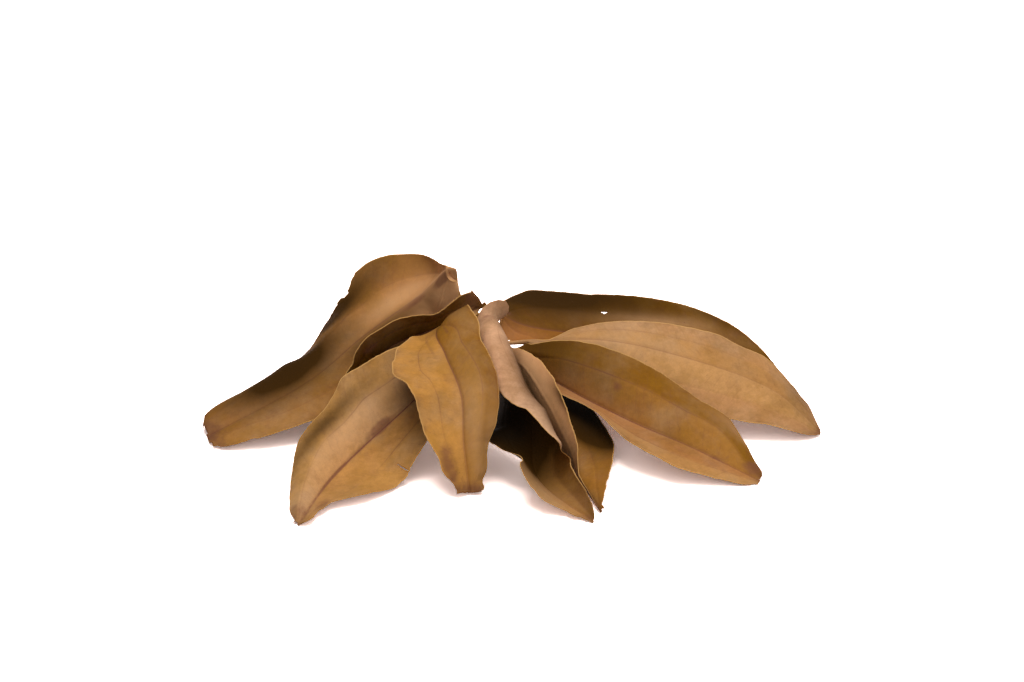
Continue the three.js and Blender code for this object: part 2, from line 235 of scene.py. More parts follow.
# Purple brown stains: place along the blade, then in mm the distance across and the reach along and
# across, then the strength.
STAINS = {
    "leaf_front": [(0.98, 0, 4, 9, 0.7), (0.85, 7, 9, 4, 0.8), (0.14, 4, 9, 1, 0.6), (0.12, -5, 8, 1, 0.5)],
    "leaf_front_left": [(0.36, 1, 7, 2.5, 1.0), (0.6, 0, 35, 0.8, 0.9), (0.4, -11, 3, 5, 0.4),
                        (0.96, 4, 7, 7, 0.8), (0.87, -4, 6, 4, 0.6)],
    "leaf_rolled": [(0.08, -8, 5, 6, 0.5), (0.97, 1, 4, 4, 0.5)],
    "leaf_doubled": [(0.1, 4, 6, 6, 0.6), (0.5, 3, 25, 3, 0.5), (0.97, 0, 4, 5, 0.5)],
    "leaf_front_right": [(0.39, -9.5, 2.5, 2, 1.0), (0.95, -4, 4, 4, 1.0), (0.8, 0, 12, 1.5, 0.5)],
    "leaf_right": [(1.0, 0, 4, 8, 0.7), (0.05, 0, 5, 5, 0.4)],
    "leaf_back_right": [(0.05, -4, 6, 3, 0.7), (0.98, 0, 4, 4, 0.5)],
    "leaf_folded": [(0.56, 7, 4, 3, 0.7), (0.03, 5, 5, 8, 0.6), (0.95, 0, 4, 8, 0.5)],
    "leaf_back_left": [(0.1, -2, 8, 2, 1.0), (0.3, -1, 10, 1.5, 0.7), (0.99, 0, 7, 14, 0.6),
                       (0.05, 4, 5, 4, 0.5)],
}

# Orange pink flushes, given in the same way: partly the leaf's own flush, partly a painted glow where
# light shines through the thin blade from behind, as at the base of leaf_back_left.
FLUSHES_AND_GLOW = {
    "leaf_rolled": [(0.25, -12, 25, 12, 0.3)],
    "leaf_doubled": [(0.15, 14, 20, 8, 0.8)],
    "leaf_back_right": [(0.12, 6, 12, 5, 0.5)],
    "leaf_back_left": [(0.1, -8, 20, 16, 0.8)],
    "leaf_front_right": [(0.3, 6, 25, 8, 0.3)],
}

# Painted shade and shadow, given in the same way: deep olive brown where a blade turns from the light, in
# creases and under other leaves. Beyond a strength of 1 they go on to near black: painted shadow in the
# hollow of the rolled leaf and where the doubled leaf lies under leaf_front_right.
PAINTED_SHADES = {
    "leaf_front": [(0, -10, 4, 14, 0.7)],
    "leaf_front_left": [(0.15, -12, 20, 20, 0.8), (0.1, 3, 22, 7, 0.9), (0.5, 17, 20, 4, 0.75)],
    "leaf_rolled": [(0.45, 9, 24, 15, 3.5), (0.52, -7, 14, 9, 1.1), (0.68, 17, 6, 5, 1.5),
                    (0.08, -4, 14, 6, 0.5)],
    "leaf_doubled": [(0.42, -19, 22, 11, 3.5), (0.55, 2, 40, 4, 0.9), (0.52, 14, 10, 3, 1.5)],
    "leaf_front_right": [(0.04, -12, 30, 18, 0.8), (0.16, -16, 22, 2.5, 0.6), (0.1, 10, 20, 10, 0.2)],
    "leaf_right": [(0.92, -8, 16, 12, 0.3)],
    "leaf_back_right": [(0.03, -12, 18, 12, 1.0), (0.3, -21, 45, 14, 1.4), (0.74, -20, 14, 7, 0.8)],
    "leaf_back_left": [(0.76, 10, 32, 12, 1.3), (0.48, 22, 22, 9, 1.1), (0.45, -3, 28, 4, 0.7)],
}

# Painted light, given in the same way: paler, pinker places where a part is more brightly lit, and where
# light shines through the thin blade.
PAINTED_LIGHTS = {
    "leaf_front": [(0.85, -13, 18, 8, 0.4), (0.75, -5, 20, 5, 0.3)],
    "leaf_front_left": [(0.4, 9, 28, 4, 0.3), (0.95, 17, 14, 10, 0.6), (0.9, -10, 14, 8, 0.2)],
    "leaf_rolled": [(0.85, 10, 15, 14, 0.2)],
    "leaf_doubled": [(0.15, 8, 24, 9, 0.6)],
    "leaf_front_right": [(0.85, -20, 16, 5, 0.2)],
    "leaf_right": [(0.2, 4, 30, 20, 0.15)],
    "leaf_back_right": [(0.55, -9, 22, 4, 0.4)],
    "leaf_folded": [(0.08, -4, 4, 6, 0.6)],
    "leaf_back_left": [(0.33, 5, 18, 5, 0.4), (0.12, -10, 24, 16, 0.7)],
}

# How dark the nerves are, on the leaves where that isn't 1.
NERVES = {"leaf_front_left": 1.3, "leaf_front_right": 1.4, "leaf_right": 0.5}


def shade(red, green, blue):
    """A screen colour, from 0 to 255, as Blender's linear one."""
    return tuple(((v / 255 + 0.055) / 1.055) ** 2.4 if v > 10 else v / 255 / 12.92
                 for v in (red, green, blue))


# Screen colours of a leaf's upper side from left to right: a strip beyond each side nerve, and one on
# each side of the midrib between them. The last is the colour of its underside. The upper side's colours
# are the leaf's own with painted shade and light: darker where a half or strip turns from the light or
# lies in shade, as inside the rolled, folded and doubled leaves, and lighter where it is lit.
LOOK_KEYS = ("left_strip", "left", "right", "right_strip", "underside")
LOOKS = {
    "leaf_front": [(138, 93, 38), (158, 110, 50), (184, 132, 72), (184, 132, 72), (195, 150, 105)],
    "leaf_front_left": [(186, 137, 80), (186, 136, 82), (198, 150, 102), (188, 139, 82), (200, 150, 110)],
    "leaf_rolled": [(110, 72, 32), (145, 102, 52), (175, 126, 76), (178, 130, 78), (228, 182, 145)],
    "leaf_doubled": [(155, 106, 52), (155, 106, 52), (85, 62, 45), (85, 62, 45), (162, 114, 78)],
    "leaf_front_right": [(128, 86, 33), (155, 108, 55), (168, 117, 72), (180, 132, 82), (190, 145, 105)],
    "leaf_right": [(184, 136, 90), (182, 134, 84), (194, 146, 96), (184, 136, 92), (200, 150, 110)],
    "leaf_back_right": [(105, 68, 20), (120, 80, 36), (152, 100, 48), (160, 105, 46), (170, 125, 85)],
    "leaf_folded": [(135, 95, 52), (90, 58, 22), (92, 58, 18), (92, 55, 12), (160, 115, 75)],
    "leaf_back_left": [(158, 112, 64), (150, 105, 58), (170, 120, 72), (158, 110, 60), (190, 140, 100)],
}


# ---- shapes ----

# What each point of a blade stores for its relief and its finish, painted shade and light included.
FINISH_KEYS = (
    "share", "run", "across", "rim", "midrib", "beyond", "stain", "flush", "painted_shade", "pale", "flattened")


def on_curve(points, places):
    """Points on a smooth curve through the listed ones, or numbers on a smooth course through a list."""
    p = np.asarray(points, float)
    flat = p.ndim == 1
    p = p[:, None] if flat else p
    padded = np.vstack([2 * p[0] - p[1], p, 2 * p[-1] - p[-2]])
    at = np.clip(places, 0, 1) * (len(p) - 1)
    i = np.minimum(at.astype(int), len(p) - 2)
    f = (at - i)[:, None]
    a, b, c, d = padded[i], padded[i + 1], padded[i + 2], padded[i + 3]
    out = 0.5 * (2 * b + (c - a) * f + (2 * a - 5 * b + 4 * c - d) * f**2 + (3 * b - a - 3 * c + d) * f**3)
    return out[:, 0] if flat else out


def smooth(value, low, high):
    """0 below low, 1 above high, and an even S between them."""
    x = np.clip((value - low) / (high - low), 0, 1)
    return x * x * (3 - 2 * x)


def unit(vectors):
    return vectors / np.linalg.norm(vectors, axis=-1, keepdims=True)


def wobble(places, seed, turns):
    """A seeded random line between -1 and 1 with about that many turns over the blade."""
    knots = np.random.default_rng(seed).uniform(-1, 1, turns + 2)
    return on_curve(knots, places)


def half_width(leaf, side, share):
    """The width of one half along the blade, in mm, before its margin is torn."""
    belly = leaf["belly"]
    x = np.where(share > belly, (share - belly) / (1 - belly), 1 - share / belly)
    fullness = np.where(share > belly, side.get("tip", leaf["tip"]), side.get("base", leaf["base"]))
    width = side["width"] * np.clip(1 - x * x, 0, 1) ** fullness
    if "margin" in side:
        places, left = np.array(side["margin"]).T
        inside = (share >= places[0]) & (share <= places[-1])
        width = width * np.where(inside, np.interp(share, places, left), 1)
    soft = np.convolve(np.pad(width, 3, mode="edge"), np.ones(7) / 7, mode="valid")
    return np.maximum(soft, np.where(share > 0.5, leaf["end"], STALK_RADIUS))


def torn_back(name, key, share, seed):
    """How far a torn margin falls back, in mm: a broken line of steps."""
    depth = np.zeros(len(share))
    for half, start, end, deepest in TORN.get(name, []):
        if half != key:
            continue
        count = int((end - start) * 40) + 2
        steps = np.random.default_rng(seed).uniform(0, deepest, count)
        place = (share - start) / (end - start) * count
        inside = (place >= 0) & (place < count)
        depth += np.where(inside, steps[np.clip(place.astype(int), 0, count - 1)], 0)
    return depth


def marks(spots, share, run, across):
    """How strongly a leaf's listed marks show at each point: the strongest one counts."""
    total = np.zeros(across.shape)
    for place, middle, long, wide, strength in spots:
        at = np.interp(place, share, run)
        reach = ((run[:, None] - at) / long) ** 2 + ((across - middle) / wide) ** 2
        total = np.maximum(total, strength * np.exp(-reach))
    return total


def leaf_sheet(name, sizes):
    """The leaf's middle surface as rows by columns, from the left margin to the right.

    Each row also holds what the finish needs, such as the distance from the midrib.
    """
    leaf = LEAVES[name]
    seed = sorted(LEAVES).index(name)
    blade = np.linspace(0, 1, BLADE_ROWS + 1)
    places = np.concatenate([np.zeros(JOIN_ROWS), np.linspace(0, leaf["stalk"], STALK_ROWS, endpoint=False),
                             leaf["stalk"] + (1 - leaf["stalk"]) * blade])
    share = np.maximum((places - leaf["stalk"]) / (1 - leaf["stalk"]), 0)
    flattened = smooth(share, 0, BLADE_STARTS_OVER)
    centre = on_curve(leaf["midrib"], places)
    twig = on_curve(TWIG_LINE, np.linspace(0, 1, 60))
    root = twig[np.argmin(np.linalg.norm(twig - centre[0], axis=1))]
    centre[:JOIN_ROWS] = root + (centre[0] - root) * np.linspace(0, 1, JOIN_ROWS, endpoint=False)[:, None]
    along = unit(on_curve(leaf["midrib"], np.minimum(places + 0.001, 1))
                 - on_curve(leaf["midrib"], np.maximum(places - 0.001, 0)))
    right = unit(np.cross(along, [0, 0, 1.0]))
    top = np.cross(right, along)
    bank = np.radians(on_curve(leaf["bank"], share))[:, None]
    right, top = right * np.cos(bank) + top * np.sin(bank), top * np.cos(bank) - right * np.sin(bank)
    run = np.concatenate([[0], np.cumsum(np.linalg.norm(np.diff(centre, axis=0), axis=1))])
    lean = np.radians(on_curve(leaf["left"]["fold"], share) - on_curve(leaf["right"]["fold"], share)) / 2
    lean = (lean * flattened)[:, None]
    halves = {}
    for key, sign in (("left", -1), ("right", 1)):
        side = leaf[key]
        width = half_width(leaf, side, share)
        slow, quick = (wobble(share, seed * n + sign + 1, turns) for n, turns in ((7, 22), (9, 90)))
        rag = sizes.rag * (0.5 + 0.3 * slow + 0.2 * quick) + torn_back(name, key, share, seed * 5 + sign + 1)
        trim = np.clip(1 - rag * flattened / width, MOST_TRIM, 1)
        fold, curl, kink = (
            np.radians(on_curve(side[k], share)) * flattened for k in ("fold", "curl", "kink"))
        spot = centre
        angle = np.zeros(len(share))
        points, normals, across = [], [], []
        for column in range(COLUMNS + 1):
            u = trim * column / COLUMNS
            if column:
                middle = u - trim * 0.5 / COLUMNS
                bent = smooth(middle, SIDE_NERVE - KINK_REACH, SIDE_NERVE + KINK_REACH)
                angle = fold + curl * middle + kink * bent
                step = (width * trim / COLUMNS)[:, None]
                spot = spot + step * (sign * right * np.cos(angle)[:, None] + top * np.sin(angle)[:, None])
            points.append(spot)
            normals.append(top * np.cos(angle)[:, None] - sign * right * np.sin(angle)[:, None])
            across.append(sign * u * width)
        normals[0] = top * np.cos(lean) + right * np.sin(lean)
        halves[key] = (points, normals, across, width, trim)
    points, normals, across = (
        np.stack(halves["left"][i][:0:-1] + halves["right"][i], axis=1) for i in range(3))
    columns = np.arange(-COLUMNS, COLUMNS + 1)
    widths, trims = (
        np.where(columns[None] < 0, halves["left"][i][:, None], halves["right"][i][:, None]) for i in (3, 4))
    nominal = abs(columns)[None] / COLUMNS * trims
    neck = smooth(places / leaf["stalk"], 0.6, 1)
    flare = 1 + 1.2 * (1 - smooth(run, 1, 6)) + (0.3 if leaf["stalk"] < 0.3 else 1.5) * neck
    side_nerve = SIDE_NERVE * smooth(share, 0.01, 0.2) ** 0.5 * (1 - 0.35 * smooth(share, 0.8, 1))
    rows = {"share": share, "run": run, "flattened": flattened, "flare": flare}
    # the marks' strengths: stains, flushes with a painted glow, painted shade and painted light
    spots = {"stain": STAINS, "flush": FLUSHES_AND_GLOW, "painted_shade": PAINTED_SHADES, "pale": PAINTED_LIGHTS}
    return {
        "seed": seed,
        "points": points,
        "normals": unit(normals),
        "across": across,
        "rim": (trims - nominal) * widths,
        "midrib": abs(across),
        "beyond": (nominal - side_nerve[:, None]) * widths,
        "nominal": nominal,
        **{key: np.repeat(values[:, None], len(columns), axis=1) for key, values in rows.items()},
        **{key: marks(listed.get(name, []), share, run, across) for key, listed in spots.items()},
    }


def closed_sheet(name, sheet, sizes):
    """A mesh with the sheet's upper and lower side and a wall round every edge, holes included."""
    rows, columns = sheet["share"].shape
    blade_half = (sizes.blade + (sizes.rim - sizes.blade) * sheet["nominal"]) / 2
    stalk_half = STALK_RADIUS * sheet["flare"] * np.sqrt(np.clip(1 - sheet["nominal"] ** 2, 0, 1))
    half = np.maximum(stalk_half + (blade_half - stalk_half) * sheet["flattened"], sizes.rim / 2)[..., None]
    upper = sheet["points"] + sheet["normals"] * half
    lower = sheet["points"] - sheet["normals"] * half
    spots = (np.concatenate([upper.reshape(-1, 3), lower.reshape(-1, 3)]) - ORIGIN) * MM

    kept = np.ones((rows - 1, columns - 1), bool)
    middle = {k: (sheet[k][:-1, :-1] + sheet[k][1:, 1:]) / 2 for k in ("share", "run", "across")}
    bites = 0.5 + 0.5 * wobble((middle["across"][-1] / 25 + 1) / 2, sheet["seed"] + 50, 8)
    kept &= middle["run"] < middle["run"].max() - sizes.bite * bites[None] * (abs(middle["across"]) > 0.4)
    for place, across, long, wide in HOLES.get(name, []):
        reach_along = (middle["share"] - place) * middle["run"].max() / long
        reach_across = (middle["across"] - across) / wide
        kept &= reach_along ** 2 + reach_across ** 2 > 1
    number = np.arange(rows * columns).reshape(rows, columns)
    a, b, c, d = number[:-1, :-1], number[:-1, 1:], number[1:, 1:], number[1:, :-1]
    below = rows * columns
    up = np.stack([a, b, c, d], axis=-1)[kept]
    down = np.stack([a, d, c, b], axis=-1)[kept] + below
    walls = []
    framed = np.pad(kept, 1)
    for first, second, gone in (
        (a, b, ~framed[:-2, 1:-1]), (b, c, ~framed[1:-1, 2:]),
        (c, d, ~framed[2:, 1:-1]), (d, a, ~framed[1:-1, :-2]),
    ):
        open_edge = kept & gone
        p, q = first[open_edge], second[open_edge]
        walls.append(np.stack([q, p, p + below, q + below], axis=-1))
    faces = np.concatenate([up, down] + walls)
    used = np.unique(faces)
    renumber = np.zeros(2 * below, int)
    renumber[used] = np.arange(len(used))

    mesh = bpy.data.meshes.new(name)
    mesh.from_pydata(spots[used].tolist(), [], renumber[faces].tolist())
    sharp = np.zeros(len(faces), bool)
    sharp[len(up) + len(down):] = True
    mesh.polygons.foreach_set("use_smooth", ~sharp)

    def on_both_sides(key):
        return np.tile(sheet[key].ravel(), 2)[used]

    def store(key, values):
        attribute = mesh.attributes.new(key, "FLOAT", "POINT")
        attribute.data.foreach_set("value", np.asarray(values, np.float32))

    store("upper_side", np.concatenate([np.ones(below), np.zeros(below)])[used])
    for key in FINISH_KEYS:
        store(key, on_both_sides(key))
    away = mesh.attributes.new("away", "FLOAT_VECTOR", "POINT")
    directions = np.tile(sheet["normals"].reshape(-1, 3), (2, 1))[used]
    away.data.foreach_set("vector", directions.astype(np.float32).ravel())
    uv = mesh.uv_layers.new(name="Blade")
    corner = np.zeros(len(mesh.loops), int)
    mesh.loops.foreach_get("vertex_index", corner)
    flat = np.stack([on_both_sides("share"), 0.5 + on_both_sides("across") / UV_HEIGHT], axis=1)
    uv.data.foreach_set("uv", flat[corner].astype(np.float32).ravel())
    mesh.update()
    return mesh


# ---- nodes ----


class Value:
    """A number on a socket. Arithmetic on it adds Math nodes."""

    def __init__(self, nodes, socket):
        self.nodes = nodes
        self.socket = socket

    def math(self, operation, *numbers):
        return self.nodes.add("ShaderNodeMath", {"operation": operation}, dict(enumerate(numbers)))

    def __add__(self, other):
        return self.math("ADD", self, other)

    def __sub__(self, other):
        return self.math("SUBTRACT", self, other)

    def __rsub__(self, other):
        return self.math("SUBTRACT", other, self)

    def __mul__(self, other):
        return self.math("MULTIPLY", self, other)

    def __truediv__(self, other):
        return self.math("DIVIDE", self, other)

    def __pow__(self, other):
        return self.math("POWER", self, other)

    __radd__ = __add__
    __rmul__ = __mul__

    def ramp(self, low, high, start=0.0, end=1.0):
        """From start to end, in an S, while this number goes from low to high."""
        return self.nodes.add("ShaderNodeMapRange", {"interpolation_type": "SMOOTHSTEP"},
                              {0: self, 1: low, 2: high, 3: start, 4: end})


class Nodes:
    """Adds nodes to one tree."""

    def __init__(self, tree):
        self.tree = tree

    def add(self, kind, settings=None, sockets=None, out=0):
        """A node of that kind, with its settings set first and then its sockets, and one of its outputs."""
        node = self.tree.nodes.new(kind)
        for key, value in (settings or {}).items():
            setattr(node, key, value)
        for key, value in (sockets or {}).items():
            if isinstance(value, Value):
                self.tree.links.new(value.socket, node.inputs[key])
            else:
                node.inputs[key].default_value = value
        return Value(self, node.outputs[out])

    def mix(self, share, first, second, blend="MIX"):
        """A colour between two."""
        first, second = (c if isinstance(c, Value) else (*c[:3], 1) for c in (first, second))
        settings = {"data_type": "RGBA", "blend_type": blend}
        return self.add("ShaderNodeMix", settings, {0: share, 6: first, 7: second}, 2)

    def stored(self, name):
        """A number stored on the mesh."""
        return self.add("ShaderNodeAttribute", {"attribute_name": name}, out=2)

    def noise(self, vector, scale, detail=3.0, roughness=0.55, out=0):
        return self.add("ShaderNodeTexNoise", None,
                        {"Vector": vector, "Scale": scale, "Detail": detail, "Roughness": roughness}, out)


def new_material(name):
    """An empty material and its nodes."""
    material = bpy.data.materials.new(name)
    material.use_nodes = True
    material.node_tree.nodes.clear()
    return material, Nodes(material.node_tree)


def finish_material(nodes, colour, roughness, bump, settings):
    """Ends a material in one Principled surface."""
    sockets = {"Base Color": colour, "Roughness": roughness, "Normal": bump}
    surface = nodes.add("ShaderNodeBsdfPrincipled", None, {**sockets, **settings})
    output = nodes.tree.nodes.new("ShaderNodeOutputMaterial")
    nodes.tree.links.new(surface.socket, output.inputs["Surface"])


def hash_of(name):
    """A whole number that is the same each run and differs between the leaves."""
    return sum(ord(letter) * (i + 1) for i, letter in enumerate(name))


def leaf_material(piece, look, colours):
    """A dry blade: cloudy, with fine dark nerves, faint cross veins, stains, flushes and a browned tip,
    with painted shade, shadow, light and glow, and a painted highlight along its margins.
    """
    name = "dry_" + piece
    material, nodes = new_material(name)
    spot = nodes.add("ShaderNodeTexCoord", out=3)
    place = (0.13 * (hash_of(name) % 17), 0.4, 0)
    shift = nodes.add("ShaderNodeMapping", None, {"Vector": spot, "Location": place})
    share, run, across, rim, midrib, beyond, stain, flush, painted_shade, pale, flattened = (
        nodes.stored(key) for key in FINISH_KEYS)
    upper = nodes.stored("upper_side")
    side_nerve = beyond.math("ABSOLUTE", beyond)

    cloudy = nodes.noise(shift, 45.0, 4.0, 0.6)
    patchy = nodes.noise(shift, 21.0, 3.0, 0.55)
    mottled = nodes.noise(shift, 85.0, 5.0, 0.65)
    blotchy = nodes.noise(shift, 150.0, 3.0, 0.6)
    grainy = nodes.noise(shift, 480.0, 4.0, 0.7)
    speckle = nodes.noise(shift, 1000.0, 2.0, 0.6)

    # painted shade and light: each half and its strip beyond the side nerve take their listed colours
    edge = beyond.ramp(-1.5, 1.5)
    left = nodes.mix(edge, look.left, look.left_strip)
    right = nodes.mix(edge, look.right, look.right_strip)
    skin = nodes.mix(across.ramp(-0.9, 0.9), left, right)
    skin = nodes.mix(upper.ramp(0.4, 0.6), look.underside, skin)
    skin = nodes.mix(cloudy.ramp(0.42, 0.68) * 0.3, skin, colours.ochre)
    skin = nodes.mix(mottled.ramp(0.46, 0.64) * 0.3, skin, colours.olive)
    skin = nodes.mix(blotchy.ramp(0.5, 0.7) * 0.16, skin, colours.stain)
    tone = nodes.add("ShaderNodeHueSaturation", None, {
        "Color": skin, "Value": 0.87 + 0.24 * patchy.ramp(0.3, 0.7) + 0.5 * (grainy - 0.5),
        "Saturation": 1.04 - 0.14 * cloudy.ramp(0.4, 0.75)})

    # faint cross veins, which arch from the midrib to each side nerve, and the net between them
    along = run + midrib * VEIN_ARCH + nodes.noise(shift, 90.0, 2.0, 0.5) * VEIN_WANDER
    rungs = along.math("PINGPONG", along, VEIN_SPACING).ramp(0.0, 0.35, 1.0, 0.0)
    rungs = rungs * flattened * midrib.ramp(0.8, 3.0)
    cells = nodes.add("ShaderNodeTexVoronoi", {"feature": "DISTANCE_TO_EDGE"},
                      {"Vector": shift, "Scale": 900.0})
    net = cells.ramp(0.0, 0.12, 1.0, 0.0)
    tone = nodes.mix(rungs * blotchy.ramp(0.35, 0.6) * 0.12 + net * 0.08, tone, colours.stain)

    # the midrib and side nerves: a fine dark line in the soft painted shade of their groove, which fades
    # towards the tip
    fade = share.ramp(0.25, 0.95, 1.0, 0.35) * NERVES.get(piece, 1.0)
    line = midrib.ramp(0.1, 0.4, 1.0, 0.0) * 0.6 + midrib.ramp(0.3, 1.8, 1.0, 0.0) * 0.14
    side_line = side_nerve.ramp(0.05, 0.35, 1.0, 0.0) * 0.35 + side_nerve.ramp(0.2, 1.6, 1.0, 0.0) * 0.1
    lines = line * fade + side_line * fade * cloudy.ramp(0.3, 0.6)
    tone = nodes.mix(lines * flattened, tone, colours.stain)

    # flushes with a painted glow, painted light, painted shade and shadow, stains, the browned tip, a painted
    # highlight on the thin rim and dark specks
    tone = nodes.mix((flush * (0.5 + 0.8 * cloudy)).math("MINIMUM", flush, 0.9) * 0.8, tone, colours.flush)
    # painted light: paler, pinker places
    tone = nodes.mix(pale * (0.6 + 0.8 * blotchy), tone, colours.pale)
    # painted shade, deep olive brown, going on to a near black painted shadow beyond a strength of 1
    tone = nodes.mix(painted_shade * (0.8 + 0.4 * cloudy), tone, colours.painted_shade)
    tone = nodes.mix((painted_shade - 1.0) * 0.5, tone, PAINTED_SHADOW_BLACK)
    ragged = (stain * (1.6 * blotchy + 0.1)).ramp(0.2, 0.7)
    tone = nodes.mix(ragged * 0.62, tone, colours.stain)
    tone = nodes.mix((share + 0.1 * (blotchy - 0.5)).ramp(0.94, 1.02) * 0.45, tone, colours.burnt)
    tone = nodes.mix(rim.ramp(0.2, 2.5, 1.0, 0.0) * blotchy.ramp(0.5, 0.7) * 0.25, tone, colours.burnt)
    # a painted highlight along the thin margins, weaker towards the tip
    rim_highlight = rim.ramp(0.2, 0.5, 1.0, 0.0) * flattened * share.ramp(0.8, 0.95, 0.75, 0.2)
    tone = nodes.mix(rim_highlight, tone, colours.rim)
    tone = nodes.mix(speckle.ramp(0.71, 0.77) * 0.45, tone, colours.burnt)

    rough = 0.6 + 0.15 * grainy + 0.1 * patchy
    height = rungs * 0.3 + net * 0.12 + grainy * 0.3
    bump = nodes.add("ShaderNodeBump", None, {"Strength": 0.3, "Distance": 0.0002, "Height": height})
    finish_material(nodes, tone, rough, bump, {"Specular IOR Level": 0.04})
    return material


def bark_material(colours):
    """Thin wrinkled bark with pale pores and a few scars."""
    material, nodes = new_material("wrinkled_bark")
    spot = nodes.add("ShaderNodeTexCoord", out=3)
    stretched = nodes.add("ShaderNodeMapping", None, {"Vector": spot, "Scale": (1.0, 1.0, 0.25)})
    furrow = nodes.noise(stretched, 900.0, 4.0, 0.65)
    patch = nodes.noise(spot, 160.0, 3.0, 0.6)
    pores = nodes.add("ShaderNodeTexVoronoi", None, {"Vector": spot, "Scale": 700.0})
    tone = nodes.mix(furrow.ramp(0.35, 0.7), colours.bark, colours.bark_ridge)
    tone = nodes.mix(patch.ramp(0.5, 0.7) * 0.5, tone, colours.stain)
    tone = nodes.mix(pores.ramp(0.1, 0.2, 1.0, 0.0) * 0.4, tone, colours.rim)
    bump = nodes.add("ShaderNodeBump", None, {"Strength": 0.6, "Distance": 0.0004, "Height": furrow})
    finish_material(nodes, tone, 0.7 + 0.15 * patch, bump, {"Specular IOR Level": 0.3})
    return material


def seen_directly(nodes):
    """1 for rays from the camera, and for those seen in a gloss or through a clear thing."""
    rays = nodes.add("ShaderNodeLightPath")
    gloss = Value(nodes, rays.socket.node.outputs["Is Glossy Ray"])
    through = Value(nodes, rays.socket.node.outputs["Is Transmission Ray"])
    return rays.math("MAXIMUM", rays, gloss.math("MAXIMUM", gloss, through))


# ---- geometry trees ----


def new_tree(name, inputs):
    """An empty geometry tree with a Geometry socket each way and the named inputs."""
    tree = bpy.data.node_groups.new(name, "GeometryNodeTree")
    tree.interface.new_socket("Geometry", in_out="INPUT", socket_type="NodeSocketGeometry")
    tree.interface.new_socket("Geometry", in_out="OUTPUT", socket_type="NodeSocketGeometry")
    for key, kind in inputs.items():
        tree.interface.new_socket(key, in_out="INPUT", socket_type=kind)
    entry = tree.nodes.new("NodeGroupInput")
    nodes = Nodes(tree)
    return tree, nodes, {socket.name: Value(nodes, socket) for socket in entry.outputs if socket.name}


def close_tree(nodes, geometry, material):
    """Ends a geometry tree: its instances made real, and its material set."""
    real = nodes.add("GeometryNodeRealizeInstances", None, {0: geometry})
    done = nodes.add("GeometryNodeSetMaterial", None, {"Geometry": real, "Material": material})
    leave = nodes.tree.nodes.new("NodeGroupOutput")
    nodes.tree.links.new(done.socket, leave.inputs[0])


def named(nodes, name, kind="FLOAT"):
    """A value stored on the mesh, for a geometry tree."""
    return nodes.add("GeometryNodeInputNamedAttribute", {"data_type": kind}, {"Name": name})


def relief_tree():
    """Moves a blade's points along `away`: sunk nerves, puckers between the fine veins, and slow waves."""
    tree, nodes, given = new_tree("blade_relief", {
        "Material": "NodeSocketMaterial",
        **{key: "NodeSocketFloat" for key in ("Nerve depth", "Side nerve depth", "Pucker", "Wave", "Seed")}})
    spot = nodes.add("GeometryNodeInputPosition")
    midrib, beyond, run, flattened = (named(nodes, k) for k in ("midrib", "beyond", "run", "flattened"))
    side_nerve = beyond.math("ABSOLUTE", beyond)
    wander = nodes.add("ShaderNodeTexNoise", {"noise_dimensions": "4D"},
                       {"Vector": spot, "W": given["Seed"], "Scale": 90.0, "Detail": 2.0})
    rung = run + midrib * VEIN_ARCH + wander * VEIN_WANDER
    puckers = rung.math("PINGPONG", rung, VEIN_SPACING) / VEIN_SPACING
    puckers = puckers * midrib.ramp(0.5, 2.5) * side_nerve.ramp(0.3, 1.2)
    waves = nodes.add("ShaderNodeTexNoise", {"noise_dimensions": "4D"},
                      {"Vector": spot, "W": given["Seed"], "Scale": 75.0, "Detail": 2.0})
    nerve = midrib.ramp(0.0, 1.0, 1.0, 0.0) * given["Nerve depth"]
    side = side_nerve.ramp(0.0, 0.9, 1.0, 0.0) * given["Side nerve depth"]
    lift = (puckers * given["Pucker"] + (waves - 0.5) * given["Wave"] * midrib.ramp(0.0, 5.0)
            - nerve - side) * flattened
    move = nodes.add("ShaderNodeVectorMath", {"operation": "SCALE"},
                     {0: named(nodes, "away", "FLOAT_VECTOR"), "Scale": lift * MM})
    moved = nodes.add("GeometryNodeSetPosition", None, {"Geometry": given["Geometry"], "Offset": move})
    close_tree(nodes, moved, given["Material"])
    return tree


def twig_tree():
    """Turns the twig's line into a tube that swells at its nodes, with wrinkled bark."""
    tree, nodes, given = new_tree("twig_tube", {
        "Material": "NodeSocketMaterial", "Wrinkle": "NodeSocketFloat", "Sides": "NodeSocketInt"})
    ring = nodes.add("GeometryNodeCurvePrimitiveCircle", None, {"Resolution": given["Sides"], "Radius": 1.0})
    tube = nodes.add("GeometryNodeCurveToMesh", None, {
        "Curve": given["Geometry"], "Profile Curve": ring, "Scale": nodes.add("GeometryNodeInputRadius"),
        "Fill Caps": True})
    spot = nodes.add("GeometryNodeInputPosition")
    normal = nodes.add("GeometryNodeInputNormal")
    stretched = nodes.add("ShaderNodeVectorMath", {"operation": "MULTIPLY"}, {0: spot, 1: (1.0, 1.0, 0.3)})
    wrinkles = nodes.add("ShaderNodeTexNoise", None, {"Vector": stretched, "Scale": 900.0, "Detail": 3.0})
    move = nodes.add("ShaderNodeVectorMath", {"operation": "SCALE"},
                     {0: normal, "Scale": (wrinkles - 0.6) * given["Wrinkle"] * MM})
    moved = nodes.add("GeometryNodeSetPosition", None, {"Geometry": tube, "Offset": move})
    close_tree(nodes, moved, given["Material"])
    return tree


